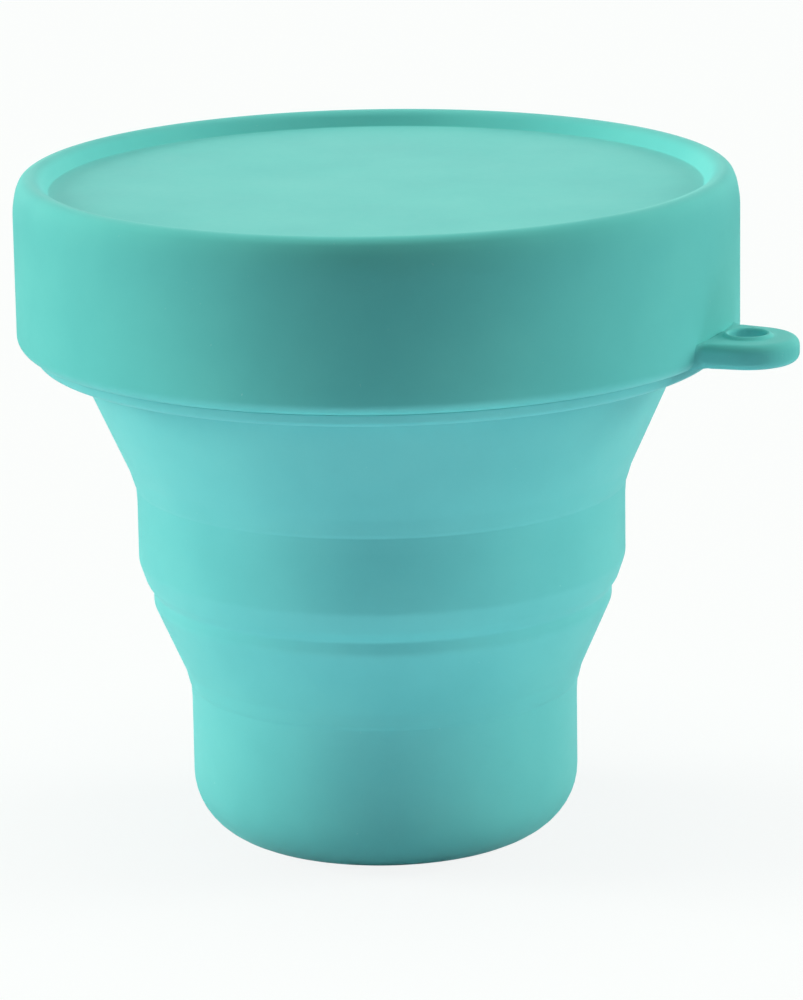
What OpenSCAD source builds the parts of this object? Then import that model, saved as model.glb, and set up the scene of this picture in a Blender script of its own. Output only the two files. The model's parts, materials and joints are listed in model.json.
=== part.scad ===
// Collapsible travel cup with a push-on lid.
//
// The cup is three rigid tiers, base, middle and mouth, one above the other and each wider
// than the one below. Two thin cone-shaped folds join them. Pressed down, a fold turns inside
// out and the lower tier slides up inside the next one. The lid is a cap that pushes over the
// mouth wall down to a collar, and carries a flat tab with an eyelet to hang it by.
//
// Millimetres, +Z up, origin at the centre of the face it stands on, hang tab towards +X.

/* [Cup tiers] */
// Outside diameter of the base tier
base_d = 48.8; // [40:0.2:64]
// Height of the base tier, up to the lower fold
base_h = 20; // [14:0.5:30]
// Radius of the rounded bottom edge
foot_radius = 8; // [4:0.5:10]
// Radial step from the base tier out to the middle tier
middle_step = 6.25; // [5:0.05:10]
// Height of the middle tier, from fold to fold
middle_h = 14.4; // [11:0.1:20]
// Radial step from the middle tier out to the mouth wall
mouth_step = 11.55; // [9:0.05:16]
// Room that the folded middle tier leaves below the drinking edge
stow_room = 2.3; // [1:0.1:8]
// Wall thickness of the tiers
wall = 2; // [1.6:0.1:2.4]
// Thickness of the floor
floor_t = 2.2; // [1.6:0.1:3.5]

/* [Folds] */
// Height of the lower fold, half of how far it lets the cup down
lower_fold_h = 11.5; // [8:0.1:14]
// Height of the upper fold, half of how far it lets the cup down
upper_fold_h = 16.1; // [11:0.1:17]
// Wall thickness of both folds, measured level
fold_wall = 1.3; // [0.8:0.1:1.5]
// Depth of the narrow neck under the middle tier
neck_depth = 1.75; // [1:0.05:2.5]
// Height of the neck, half of it on each side of the fold line
neck_h = 2.4; // [1.6:0.1:3]
// Height over which the middle tier flares out of its neck
flare_h = 3.6; // [2:0.1:5]

/* [Collar] */
// How far the collar stands out from the mouth wall
collar_w = 1; // [0.6:0.1:2]
// Thickness of the collar
collar_t = 1.7; // [1.2:0.1:2.6]
// Radial width of the shoulder from the upper fold out to the mouth wall's outer face
shoulder_w = 4.3; // [3:0.1:5]

/* [Lid] */
// Thickness of the lid's skirt
lid_wall = 2.5; // [1.6:0.1:3.2]
// Thickness of the lid's top panel
panel_t = 2.2; // [1.4:0.1:3]
// How far the panel lies below the raised rim
panel_drop = 1.9; // [0.8:0.1:3]
// Width of the raised rim
rim_w = 3.9; // [3.2:0.1:5]
// Radius of the rim's outer edge
rim_radius = 2; // [1:0.1:2.4]
// Radius of the skirt's lower edge
hem_radius = 1.2; // [0.6:0.1:1.6]

/* [Hang tab] */
// Width of the tab across its round end
tab_w = 12.6; // [10:0.2:16]
// Thickness of the tab
tab_t = 3.1; // [2:0.1:4]
// Angle at which each side of the tab flares towards the lid
tab_flare = 7; // [5:1:35]
// Distance from the lid's skirt out to the centre of the eyelet
eyelet_reach = 3.6; // [3.4:0.1:8]
// Diameter of the eyelet's hole
eyelet_d = 4.6; // [3:0.1:6]
// Width of the bead round the eyelet
bead_w = 1; // [0.6:0.1:1.4]
// Height of the bead above the tab
bead_h = 0.4; // [0.2:0.1:0.8]

/* [Fits] */
// Radial clearance between the mouth wall and the lid's skirt
lid_clearance = 0.3; // [0.2:0.05:0.6]
// Clearance under the skirt and under the panel, where the lid seats
seat_clearance = 0.3; // [0.2:0.05:0.6]
// Clearance between the top of a fold and the tier above, which moves away from it
fold_clearance = 0.3; // [0.2:0.05:0.5]

/* [Hidden] */
$fn = 96;

// Steps in each rounded edge of an outline
arc_steps = 6;
silicone = [0.38, 0.75, 0.73];
silicone_fold = [0.45, 0.80, 0.78];

// Levels of the fold lines and of the lid, counted from the standing face
lower_fold_z = base_h;
middle_z = lower_fold_z + lower_fold_h;
upper_fold_z = middle_z + middle_h;
mouth_z = upper_fold_z + upper_fold_h;
lid_z = mouth_z + collar_t + seat_clearance;
mouth_top = mouth_z + upper_fold_h + stow_room;
panel_z = mouth_top + seat_clearance;
lid_top = panel_z + panel_t + panel_drop;

// Outer radii of the tiers, of the neck and of the lid
base_r = base_d / 2;
middle_r = base_r + middle_step;
neck_r = middle_r - neck_depth;
mouth_r = middle_r + mouth_step;
shoulder_r = mouth_r - shoulder_w;
skirt_r = mouth_r + lid_clearance;
lid_r = skirt_r + lid_wall;

// Inside edges: the foot's, where the floor ends, and the small ones of mouth and lid
floor_r = base_r - foot_radius;
lip_radius = wall / 2;
collar_radius = min(1, collar_t / 2, collar_w);
corner_radius = 1;
recess_radius = 0.6;
// The tab's straight sides run into its round end this far inside the tangent
side_inset = 0.05;

// Points of an arc about [r, z], turning from one angle to another
function arc(r, z, radius, from, to) =
    [for (i = [0 : arc_steps])
        let (a = from + (to - from) * i / arc_steps)
        [r + radius * cos(a), z + radius * sin(a)]];

// A ring or disc turned about the cup's axis
module turned(outline) {
    rotate_extrude() polygon(outline);
}

// Flat disc that the cup stands on
module base_floor() {
    color(silicone)
        cylinder(h = floor_t, r = floor_r);
}

// Lowest and narrowest tier, with its rounded bottom edge
module base_tier() {
    inner_radius = foot_radius - wall;
    color(silicone)
        turned(concat(
            arc(floor_r, foot_radius, foot_radius, -90, 0),
            [[base_r, base_h], [base_r - wall, base_h]],
            arc(floor_r, floor_t + inner_radius, inner_radius, 0, -90)
        ));
}

// Thin cone from the base tier up to the neck of the middle tier
module lower_fold() {
    neck_z = middle_z - neck_h / 2;
    top_z = middle_z - fold_clearance;
    color(silicone_fold)
        turned([
            [base_r - fold_wall, lower_fold_z], [base_r, lower_fold_z],
            [neck_r, neck_z], [neck_r, top_z],
            [neck_r - fold_wall, top_z], [neck_r - fold_wall, neck_z]
        ]);
}

// Second tier, which flares out of a narrow neck to a straight wall
module middle_tier() {
    neck_z = middle_z + neck_h / 2;
    flare_z = neck_z + flare_h;
    color(silicone)
        turned([
            [neck_r - wall, middle_z], [neck_r, middle_z], [neck_r, neck_z],
            [middle_r, flare_z], [middle_r, upper_fold_z],
            [middle_r - wall, upper_fold_z], [middle_r - wall, flare_z],
            [neck_r - wall, neck_z]
        ]);
}

// Thin cone from the middle tier up to the shoulder of the mouth tier
module upper_fold() {
    top_z = mouth_z - fold_clearance;
    color(silicone_fold)
        turned([
            [middle_r - fold_wall, upper_fold_z], [middle_r, upper_fold_z],
            [shoulder_r, top_z], [shoulder_r - fold_wall, top_z]
        ]);
}

// Widest tier: shoulder, collar that the lid seats on, mouth wall and rolled drinking edge
module mouth_tier() {
    collar_r = mouth_r + collar_w;
    ledge_z = mouth_z + collar_t;
    color(silicone)
        turned(concat(
            [[shoulder_r - fold_wall, mouth_z]],
            arc(collar_r - collar_radius, mouth_z + collar_radius, collar_radius, -90, 0),
            [[collar_r, ledge_z], [mouth_r, ledge_z]],
            arc(mouth_r - lip_radius, mouth_top - lip_radius, lip_radius, 0, 180),
            arc(mouth_r - wall - corner_radius, ledge_z + corner_radius, corner_radius, 0, -90),
            [[shoulder_r - fold_wall, ledge_z]]
        ));
}

// Cap with a recessed panel, a raised rim and a deep skirt
module lid() {
    rim_r = lid_r - rim_w;
    recess_z = lid_top - panel_drop;
    color(silicone)
        turned(concat(
            [[skirt_r, lid_z]],
            arc(lid_r - hem_radius, lid_z + hem_radius, hem_radius, -90, 0),
            arc(lid_r - rim_radius, lid_top - rim_radius, rim_radius, 0, 90),
            arc(rim_r + recess_radius, lid_top - recess_radius, recess_radius, 90, 180),
            arc(rim_r - recess_radius, recess_z + recess_radius, recess_radius, 0, -90),
            [[0, recess_z], [0, panel_z]],
            arc(skirt_r - corner_radius, panel_z - corner_radius, corner_radius, 90, 0)
        ));
}

// Flat tab on the skirt's lower edge: a round end with a beaded eyelet, flaring to the lid
module hang_tab() {
    eyelet_r = lid_r + eyelet_reach;
    end_r = tab_w / 2;
    side = (end_r - side_inset) * [sin(tab_flare), cos(tab_flare)];
    root = side + (eyelet_reach + tab_w) * [-cos(tab_flare), sin(tab_flare)];
    color(silicone)
        translate([0, 0, lid_z])
            difference() {
                union() {
                    linear_extrude(height = tab_t)
                        translate([eyelet_r, 0]) {
                            circle(r = end_r);
                            polygon([side, root, [root.x, -root.y], [side.x, -side.y]]);
                        }
                    translate([eyelet_r, 0, tab_t / 2])
                        cylinder(h = tab_t / 2 + bead_h, r = eyelet_d / 2 + bead_w);
                }
                translate([0, 0, -1])
                    cylinder(h = tab_t + bead_h + 2, r = lid_r);
                translate([eyelet_r, 0, -1])
                    cylinder(h = tab_t + bead_h + 2, r = eyelet_d / 2);
            }
}

base_floor();
base_tier();
lower_fold();
middle_tier();
upper_fold();
mouth_tier();
lid();
hang_tab();
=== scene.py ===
import json
import math

import bmesh
import bpy
from mathutils import Matrix, Vector


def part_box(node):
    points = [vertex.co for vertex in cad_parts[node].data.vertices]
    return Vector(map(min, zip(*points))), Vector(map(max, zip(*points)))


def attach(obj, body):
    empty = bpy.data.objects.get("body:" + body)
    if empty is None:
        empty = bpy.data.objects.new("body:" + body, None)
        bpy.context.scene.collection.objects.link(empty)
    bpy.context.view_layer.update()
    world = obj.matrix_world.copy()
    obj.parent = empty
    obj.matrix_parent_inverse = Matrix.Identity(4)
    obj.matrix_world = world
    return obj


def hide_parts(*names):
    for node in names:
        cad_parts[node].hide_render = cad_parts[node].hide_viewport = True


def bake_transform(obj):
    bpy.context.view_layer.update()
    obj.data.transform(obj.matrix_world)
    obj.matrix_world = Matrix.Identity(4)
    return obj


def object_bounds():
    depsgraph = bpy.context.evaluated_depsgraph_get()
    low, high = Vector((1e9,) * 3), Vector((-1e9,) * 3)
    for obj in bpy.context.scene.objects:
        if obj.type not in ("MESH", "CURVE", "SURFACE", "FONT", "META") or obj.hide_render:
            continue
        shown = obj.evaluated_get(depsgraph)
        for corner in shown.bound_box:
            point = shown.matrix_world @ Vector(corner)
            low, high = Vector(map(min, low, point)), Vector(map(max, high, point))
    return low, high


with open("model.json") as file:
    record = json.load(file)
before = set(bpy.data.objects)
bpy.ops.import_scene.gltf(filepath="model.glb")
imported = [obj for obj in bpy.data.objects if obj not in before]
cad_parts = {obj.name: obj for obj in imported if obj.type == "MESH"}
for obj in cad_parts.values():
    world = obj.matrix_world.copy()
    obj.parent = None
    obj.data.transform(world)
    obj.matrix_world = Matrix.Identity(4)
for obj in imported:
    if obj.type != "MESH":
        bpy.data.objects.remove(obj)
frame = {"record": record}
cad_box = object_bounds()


# ---- Floor of the cup ----
# The flat disc that the cup stands on. It is the bottom of the one silicone moulding that
# makes the whole cup, and it runs out into the rounded foot with no joint to be seen.

MM = 0.001
SEGMENTS = 240
ARC_STEP = math.radians(7.5)
SHARP = math.radians(32)


def rounded(corners):
    """The outline through these corners, (radius from the axis, height, rounding), in mm."""
    points = []
    for i, (r, z, rounding) in enumerate(corners):
        here = Vector((r, z))
        if not rounding:
            points.append(here)
            continue
        back = (Vector(corners[i - 1][:2]) - here).normalized()
        ahead = (Vector(corners[(i + 1) % len(corners)][:2]) - here).normalized()
        half = back.angle(ahead) / 2
        centre = here + (back + ahead).normalized() * rounding / math.sin(half)
        first = here + back * rounding / math.tan(half) - centre
        last = here + ahead * rounding / math.tan(half) - centre
        sweep = math.copysign(math.pi - 2 * half, first.x * last.y - first.y * last.x)
        steps = max(2, math.ceil(abs(sweep) / ARC_STEP))
        for k in range(steps + 1):
            points.append(centre + Matrix.Rotation(sweep * k / steps, 2) @ first)
    return points


def stepped(points, longest):
    """The same closed outline with no straight run longer than this, in mm."""
    fine = []
    for here, there in zip(points, points[1:] + points[:1]):
        parts = max(1, math.ceil((there - here).length / longest))
        fine += [here.lerp(there, k / parts) for k in range(parts)]
    return fine


def piece(name, shape):
    """A smooth object from a bmesh. Its true corners stay crisp, and each point notes where it
    lies when the cup is open, so that the finish stays on the silicone as it folds."""
    bmesh.ops.recalc_face_normals(shape, faces=shape.faces)
    for face in shape.faces:
        face.smooth = True
    for edge in shape.edges:
        edge.smooth = len(edge.link_faces) == 2 and edge.calc_face_angle() < SHARP
    mesh = bpy.data.meshes.new(name)
    shape.to_mesh(mesh)
    shape.free()
    at_rest = mesh.attributes.new("rest", "FLOAT_VECTOR", "POINT")
    at_rest.data.foreach_set("vector", [x for v in mesh.vertices for x in v.co])
    made = bpy.data.objects.new(name, mesh)
    bpy.context.scene.collection.objects.link(made)
    return made


def turned(name, outline):
    """A piece turned about the cup's axis from a closed outline in mm."""
    shape = bmesh.new()
    rings = []
    for r, z in outline:
        if r < 1e-6:
            rings.append([shape.verts.new((0, 0, z * MM))] * SEGMENTS)
            continue
        turn = [2 * math.pi * k / SEGMENTS for k in range(SEGMENTS)]
        rings.append([shape.verts.new((r * MM * math.cos(a), r * MM * math.sin(a), z * MM))
                      for a in turn])
    for low, high in zip(rings, rings[1:] + rings[:1]):
        for k in range(SEGMENTS):
            n = (k + 1) % SEGMENTS
            around = list(dict.fromkeys([low[k], low[n], high[n], high[k]]))
            if len(around) > 2:
                shape.faces.new(around)
    return piece(name, shape)


class Wire:
    """One value in a finish's nodes. Sums on it add Math nodes."""

    def __init__(self, tree, socket=None):
        self.tree, self.socket = tree, socket

    def node(self, kind, settings=(), out=0, **sockets):
        """Any other node: its settings first, then its sockets, named with _ for a space."""
        made = self.tree.nodes.new(kind)
        for key, value in dict(settings).items():
            if key == "stops":
                ramp = made.color_ramp.elements
                while len(ramp) < len(value):
                    ramp.new(1)
                for stop, (place, colour) in zip(ramp, value):
                    stop.position, stop.color = place, (*colour, 1)
            else:
                setattr(made, key, value)
        for key, value in sockets.items():
            socket = made.inputs[int(key[1:]) if key[1:].isdigit() else key.replace("_", " ")]
            if isinstance(value, Wire):
                self.tree.links.new(value.socket, socket)
            else:
                socket.default_value = value
        return Wire(self.tree, made.outputs[out])

    def sum(self, operation, left, right):
        return self.node("ShaderNodeMath", {"operation": operation}, s0=left, s1=right)

    def __add__(self, other):
        return self.sum("ADD", self, other)

    def __sub__(self, other):
        return self.sum("SUBTRACT", self, other)

    def __rsub__(self, other):
        return self.sum("SUBTRACT", other, self)

    def __mul__(self, other):
        return self.sum("MULTIPLY", self, other)

    __radd__, __rmul__ = __add__, __mul__


def silicone(name, deep, shade, pale):
    """Matt food-grade silicone: cloudy tone, fine spark-eroded mould grain, a few specks of
    lint, and a surface that is a little smoother where hands have rubbed it."""
    made = bpy.data.materials.new(name)
    made.use_nodes = True
    tree = made.node_tree
    start = Wire(tree)
    place = start.node("ShaderNodeAttribute", {"attribute_name": "rest"}, out="Vector")

    def speckle(size, detail, **more):
        return start.node("ShaderNodeTexNoise", Vector=place, Scale=1 / (size * MM),
                          Detail=detail, **more)

    cloud = speckle(14, 3)
    tone = start.node("ShaderNodeValToRGB", {"stops": [(0.3, deep), (0.5, shade), (0.72, pale)]},
                      Fac=cloud)
    fleck = start.node("ShaderNodeMapRange", s0=speckle(0.55, 1), s1=0.79, s2=0.84)
    tone = start.node("ShaderNodeMix", {"data_type": "RGBA"}, s0=fleck * 0.16, s6=tone,
                      s7=(0.62, 0.84, 0.83, 1), out=2)
    rubbed = speckle(22, 2, Roughness=0.6)
    rough = 0.62 - rubbed * 0.16 + speckle(1.2, 2) * 0.08
    ripple = start.node("ShaderNodeBump", Strength=0.4, Distance=0.02 * MM, Height=speckle(6, 2))
    grain = start.node("ShaderNodeBump", Strength=0.35, Distance=0.02 * MM,
                       Height=speckle(0.28, 2), Normal=ripple)
    skin = tree.nodes["Principled BSDF"]
    for socket, wire in (("Base Color", tone), ("Roughness", rough), ("Normal", grain)):
        tree.links.new(wire.socket, skin.inputs[socket])
    skin.inputs["IOR"].default_value = 1.41
    skin.inputs["Sheen Weight"].default_value = 0.08
    skin.inputs["Sheen Roughness"].default_value = 0.45
    skin.inputs["Sheen Tint"].default_value = (0.80, 0.97, 0.97, 1)
    return made


cup_silicone = silicone("cup_silicone", (0.118, 0.500, 0.515), (0.126, 0.520, 0.534),
                        (0.136, 0.540, 0.548))


def fix(made, finish, node):
    """Gives a piece its finish, and hides the CAD node that it stands for."""
    made.data.materials.append(finish)
    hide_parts(node)


def upright(node):
    """A node's outer radius, lowest and highest level, in mm. The turned nodes share an axis."""
    low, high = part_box(node)
    return high.x / MM, low.z / MM, high.z / MM


floor_r, _, floor_t = upright("base_floor")
cup_floor = turned("cup_floor", stepped(
    rounded([(0, 0, 0), (floor_r, 0, 0), (floor_r, floor_t, 0), (0, floor_t, 0)]), 2.5))
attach(cup_floor, "base")
fix(cup_floor, cup_silicone, "base_floor")


# ---- Base tier ----
# The narrowest wall of the cup, with the big rounding at its foot that lets it stack and wash
# clean. It is moulded 2 mm thick and keeps its shape while the folds above it move.

base_r, _, base_top = upright("base_tier")
wall = 2
foot_round = base_r - floor_r
swell, swell_h = 0.12, 2.4
brow_w, brow_h = 0.2, 0.45
base_wall = turned("base_wall", stepped(rounded([
    (floor_r, 0, 0), (base_r, 0, foot_round - 0.01), (base_r, base_top - 3, 0),
    (base_r, base_top - swell_h, 8), (base_r + swell, base_top - brow_h, 0.4),
    (base_r + swell + brow_w, base_top, 0), (base_r - wall, base_top, 0), (base_r - wall, floor_t, foot_round - wall - 0.01),
    (floor_r, floor_t, 0)]), 1.6))
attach(base_wall, "base")
fix(base_wall, cup_silicone, "base_tier")


# ---- Lower fold ----
# A thin cone of the same silicone. Pressed down it turns inside out, so its foot stays with
# the base tier and its top goes with the middle tier. It ends in the middle tier's neck.

neck_r, fold_low, _ = upright("lower_fold")
middle_r, middle_low, middle_top = upright("middle_tier")
fold_wall = 1.3
half_neck = 1.2
hinge_out, hinge_up = 0.75, 1.7
hinge_r, hinge_z = base_r + hinge_out, fold_low + hinge_up
fold_step = 0.3
lower_web = turned("lower_web", stepped(rounded([
    (base_r - fold_wall, fold_low, 0), (base_r + swell + brow_w, fold_low, 0),
    (hinge_r, hinge_z, 3), (neck_r, middle_low - half_neck, 2.2), (neck_r, middle_low, 0),
    (neck_r - fold_wall, middle_low, 0), (neck_r - fold_wall, middle_low - half_neck, 2.2),
    (hinge_r - fold_wall, hinge_z, 3)]), fold_step))
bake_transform(lower_web)
fix(lower_web, cup_silicone, "lower_fold")


# ---- Middle tier ----
# The second wall. It flares out of a narrow neck, which is the hinge that the lower fold
# turns on, to a straight wall that carries the upper fold.

flare_low, flare_top = middle_low + 0.5, middle_low + 4.4
tuck_r, tuck_z = neck_r + 0.85, flare_low + 1.2
middle_wall = turned("middle_wall", stepped(rounded([
    (neck_r - fold_wall, middle_low, 0), (neck_r, middle_low, 0), (neck_r, flare_low, 0.8),
    (tuck_r, tuck_z, 3), (middle_r, flare_top, 2.4), (middle_r, middle_top - swell_h, 8),
    (middle_r + swell, middle_top - brow_h, 0.4), (middle_r + swell + brow_w, middle_top, 0),
    (middle_r - fold_wall, middle_top, 0), (middle_r - wall, middle_top - 1.2, 0.8),
    (middle_r - wall, flare_top, 2.0), (neck_r - fold_wall, middle_low + half_neck, 1.6)]), 1.2))
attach(middle_wall, "middle")
fix(middle_wall, cup_silicone, "middle_tier")


# ---- Upper fold ----
# The wider cone between the middle tier and the shoulder of the mouth. It bends in the same
# way as the lower one, and lets the cup down by twice its own height.

shoulder_r, _, _ = upright("upper_fold")
collar_r, mouth_low, mouth_top = upright("mouth_tier")
upper_hinge_r, upper_hinge_z = middle_r + 0.95, middle_top + 2
upper_web = turned("upper_web", stepped(rounded([
    (middle_r - fold_wall, middle_top, 0), (middle_r + swell + brow_w, middle_top, 0),
    (upper_hinge_r, upper_hinge_z, 4), (shoulder_r, mouth_low, 0),
    (shoulder_r - fold_wall, mouth_low, 0), (upper_hinge_r - fold_wall, upper_hinge_z, 4)]),
    fold_step))
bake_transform(upper_web)
fix(upper_web, cup_silicone, "upper_fold")


# ---- Mouth tier ----
# The widest tier: a shoulder with the collar that the lid seats on, the mouth wall that the
# lid pushes over, and a rolled drinking edge. It is the stiffest part of the cup.

lid_r, lid_low, lid_top = upright("lid")
seat_gap = 0.3
ledge = lid_low - seat_gap
mouth_r = collar_r - 1
mouth_wall = turned("mouth_wall", stepped(rounded([
    (shoulder_r - fold_wall, mouth_low, 0), (collar_r - 0.65, mouth_low, 1.1), (collar_r, ledge, 0.15),
    (mouth_r, ledge, 0), (mouth_r, mouth_top, wall / 2 - 0.01),
    (mouth_r - wall, mouth_top, wall / 2 - 0.01), (mouth_r - wall, ledge, 1),
    (shoulder_r - fold_wall, ledge, 0.3)]), 2))
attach(mouth_wall, "mouth")
fix(mouth_wall, cup_silicone, "mouth_tier")


# ---- Lid ----
# The second moulding: a cap with a sunken panel, a soft raised rim and a deep skirt that
# grips the mouth wall. Its hem is rounded and sits just clear of the collar.

lid_silicone = silicone("lid_silicone", (0.105, 0.505, 0.504), (0.113, 0.526, 0.521),
                        (0.122, 0.546, 0.536))
rim_w = 3.9
panel_drop = 1.9
panel_t = 2.2
skirt_inside = mouth_r + 0.3
panel_top = lid_top - panel_drop
panel_under = panel_top - panel_t
hem = lid_low - seat_gap + 0.04
lid_cap = turned("lid_cap", stepped(rounded([
    (skirt_inside, hem, 0.3), (lid_r, hem, 1.6), (lid_r, lid_top - 3.7, 9),
    (lid_r - 0.38, lid_top - 1.7, 3.5), (lid_r - 1.1, lid_top, 1.6), (lid_r - rim_w + 0.8, lid_top, 1.8),
    (lid_r - rim_w - 0.5, panel_top, 0.3), (0, panel_top, 0),
    (0, panel_under, 0), (skirt_inside, panel_under, 1)]), 2.4))
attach(lid_cap, "lid")
fix(lid_cap, lid_silicone, "lid")


# ---- Hang tab ----
# A flat tongue moulded on the skirt's lower edge, flared where it meets the lid so that it
# does not tear, with a round eyelet that has a raised bead to take a cord.

eyelet = next(m for m in frame["record"]["mounts"] if m["name"] == "eyelet")
eyelet_x = eyelet["pos_m"][0] / MM
eyelet_r = eyelet["dims"]["r_mm"]
tab_low, tab_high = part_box("hang_tab")
end_r = tab_high.x / MM - eyelet_x
bead_h, bead_w = 0.4, 1.0
tab_bottom = tab_low.z / MM
tab_face = tab_high.z / MM - bead_h
flare = math.radians(7)
edge_round = 1.1
root_x = lid_r - 0.1
root_y = end_r / math.cos(flare) + (eyelet_x - root_x) * math.tan(flare)
bury = 1.6
rim = stepped(rounded([
    (root_x - bury, -root_y - bury, 0), (root_x, -root_y, 1.8),
    (eyelet_x + end_r / math.sin(flare), 0, end_r), (root_x, root_y, 1.8),
    (root_x - bury, root_y + bury, 0)]), 0.35)


def quarter(radius, steps):
    """(inset, drop) along a quarter round, from its flat face to its side."""
    return [(radius * (1 - math.sin(a)), radius * (1 - math.cos(a)))
            for a in (math.pi / 2 * k / steps for k in range(steps + 1))]


shape = bmesh.new()
spokes = []
lip = 0.35
crest = bead_w - lip
centre = Vector((eyelet_x, 0))
for before, here, after in zip(rim[-1:] + rim[:-1], rim, rim[1:] + rim[:1]):
    along = (after - before).normalized()
    inward = Vector((-along.y, along.x))
    way = (here - centre).normalized()
    slant = min(1.6, 1 / max(0.1, -way.dot(inward)))
    hole = [(eyelet_r + inset, tab_face + bead_h - drop) for inset, drop in reversed(quarter(lip, 5))]
    hole += [(eyelet_r + lip + crest * j / 6,
              tab_face + bead_h * 0.5 * (1 + math.cos(math.pi * j / 6))) for j in range(1, 7)]
    loop = [(centre + way * r, z) for r, z in hole]
    bead_foot, brow = loop[-1][0], here - way * slant * edge_round
    loop += [(bead_foot.lerp(brow, j / 4), tab_face) for j in range(1, 4)]
    loop += [(here - way * slant * inset, tab_face - drop)
             for inset, drop in quarter(edge_round, 8)]
    loop += [(here - way * slant * inset, tab_bottom + drop)
             for inset, drop in reversed(quarter(edge_round, 8))]
    loop += [(brow.lerp(centre + way * (eyelet_r + lip), j / 5), tab_bottom) for j in range(1, 6)]
    loop += [(centre + way * (eyelet_r + inset), tab_bottom + drop)
             for inset, drop in quarter(lip, 3)[1:]]
    spokes.append([shape.verts.new((at.x * MM, at.y * MM, z * MM)) for at, z in loop])
for one, two in zip(spokes, spokes[1:] + spokes[:1]):
    for j in range(len(one)):
        n = (j + 1) % len(one)
        shape.faces.new([one[j], one[n], two[n], two[j]])
tab = piece("tab", shape)
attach(tab, "lid")
fix(tab, lid_silicone, "hang_tab")


# ---- Floor, lights and camera ----
# A wide white sweep with soft lamps to the left, to the right and overhead. The left lamp is
# the stronger, and the front of the cup is lit mostly by what comes back off the floor, whose
# colour for bounced light is painted light and shade.

floor_half = 4
ground = bmesh.new()
bmesh.ops.create_grid(ground, x_segments=8, y_segments=8, size=floor_half)
sweep_mesh = bpy.data.meshes.new("sweep")
ground.to_mesh(sweep_mesh)
ground.free()
sweep = bpy.data.objects.new("sweep", sweep_mesh)
bpy.context.scene.collection.objects.link(sweep)
sweep.location.z = cad_box[0][2] - 0.05 * MM
paper = bpy.data.materials.new("paper")
paper.use_nodes = True
sheet = Wire(paper.node_tree)
spot = sheet.node("ShaderNodeTexCoord", out="Object")
away = sheet.node("ShaderNodeVectorMath", {"operation": "LENGTH"}, out="Value", s0=spot)
# Painted light and shade: this is the floor's colour as bounced light sees it, and the camera never sees
# it. Within 45 mm of the axis it is dimmer, as painted shade by the cup's foot. From 70 to 110 mm out it
# is a bright bluish ring, a painted pool of light that lights the cup's lower folds from below. Past 230
# mm it is nearly black.
painted_bounce_ring = sheet.node("ShaderNodeValToRGB", {"stops": [
    (0.00, (0.66, 0.72, 0.79)), (0.09, (0.66, 0.72, 0.79)), (0.14, (0.78, 0.89, 1.00)),
    (0.22, (0.78, 0.89, 1.00)), (0.46, (0.08, 0.09, 0.10))]}, Fac=away * 2)
lit = sheet.node("ShaderNodeBsdfDiffuse", Color=painted_bounce_ring)
seen_lit = sheet.node("ShaderNodeBsdfDiffuse", Color=(0.80, 0.83, 0.84, 1))
white = sheet.node("ShaderNodeEmission", Color=(0.985, 1, 1, 1), Strength=1.0)
shadowed = sheet.node("ShaderNodeMixShader", s0=0.88, s1=seen_lit, s2=white)
by_eye = sheet.node("ShaderNodeLightPath", out="Is Camera Ray")
both = sheet.node("ShaderNodeMixShader", s0=by_eye, s1=lit, s2=shadowed)
paper.node_tree.links.new(both.socket, paper.node_tree.nodes["Material Output"].inputs["Surface"])
sweep_mesh.materials.append(paper)

room = bpy.data.worlds.new("room")
room.use_nodes = True
bpy.context.scene.world = room
air = Wire(room.node_tree)
seen = air.node("ShaderNodeLightPath", out="Is Camera Ray")
rays = seen.socket.node.outputs
mirrored = Wire(air.tree, rays["Is Glossy Ray"])
through = Wire(air.tree, rays["Is Transmission Ray"])
shown = air.node("ShaderNodeMath", {"operation": "MAXIMUM"}, s0=seen,
                 s1=air.node("ShaderNodeMath", {"operation": "MAXIMUM"}, s0=mirrored, s1=through))
backdrop = room.node_tree.nodes["Background"]
backdrop.inputs["Color"].default_value = (0.96, 0.99, 1, 1)
room.node_tree.links.new((shown * 0.975 + 0.025).socket, backdrop.inputs["Strength"])

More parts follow.
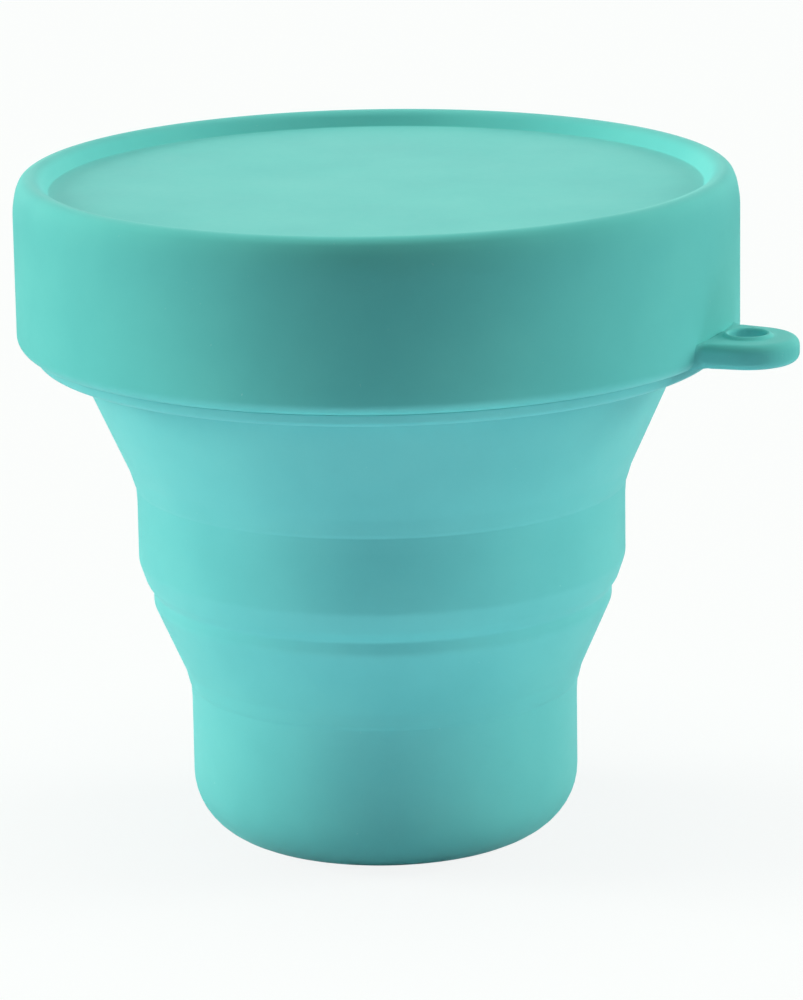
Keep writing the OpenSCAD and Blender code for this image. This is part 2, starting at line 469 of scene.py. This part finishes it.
view_turn = math.radians(23.14)
ahead = Vector((-math.sin(view_turn), math.cos(view_turn), 0))
rightward = Vector((math.cos(view_turn), math.sin(view_turn), 0))


def lamp(name, turn, rise, strength, softness, colour):
    """A far soft lamp, with no mirror image of itself on the silicone. Turn is to the right of
    where the camera stands, and rise above level."""
    light = bpy.data.lights.new(name, "SUN")
    light.energy, light.angle, light.color = strength * math.pi, math.radians(softness), colour
    made = bpy.data.objects.new(name, light)
    turn, rise = math.radians(turn), math.radians(rise)
    towards = (-ahead * math.cos(turn) + rightward * math.sin(turn)) * math.cos(rise)
    towards.z = math.sin(rise)
    made.rotation_euler = towards.to_track_quat("Z", "Y").to_euler()
    made.visible_glossy = False
    bpy.context.scene.collection.objects.link(made)


lamp("left_lamp", -97, 15, 1.17, 30, (1, 1, 0.88))
lamp("right_lamp", 97, 15, 0.87, 30, (1, 1, 0.89))
lamp("top_lamp", 0, 88, 0.50, 40, (1, 1, 0.87))

panel = bpy.data.lights.new("low_panel", "AREA")
panel.shape, panel.size, panel.size_y = "RECTANGLE", 0.22, 0.05
panel.energy, panel.color = 0.053, (0.75, 0.92, 1)
low_panel = bpy.data.objects.new("low_panel", panel)
low_panel.location = -ahead * 0.074 + Vector((0, 0, 0.001))
low_panel.rotation_euler = (math.pi, 0, view_turn)
low_panel.visible_camera = False
bpy.context.scene.collection.objects.link(low_panel)

stand_back, stand_aside, stand_high = 610.15, 2.52, 197.72
tilt, lean = math.radians(14.28), math.radians(0.93)
eye = bpy.data.cameras.new("camera")
eye.lens, eye.sensor_width, eye.sensor_fit = 180.16, 36, "AUTO"
camera = bpy.data.objects.new("camera", eye)
look = ahead * math.cos(tilt) - Vector((0, 0, math.sin(tilt)))
turned_to = look.to_track_quat("-Z", "Y").to_matrix() @ Matrix.Rotation(-lean, 3, "Z")
place = (rightward * stand_aside - ahead * stand_back + Vector((0, 0, stand_high))) * MM
camera.matrix_world = Matrix.Translation(place) @ turned_to.to_4x4()
bpy.context.scene.collection.objects.link(camera)
bpy.context.scene.camera = camera
bpy.context.scene.view_settings.view_transform = "Standard"
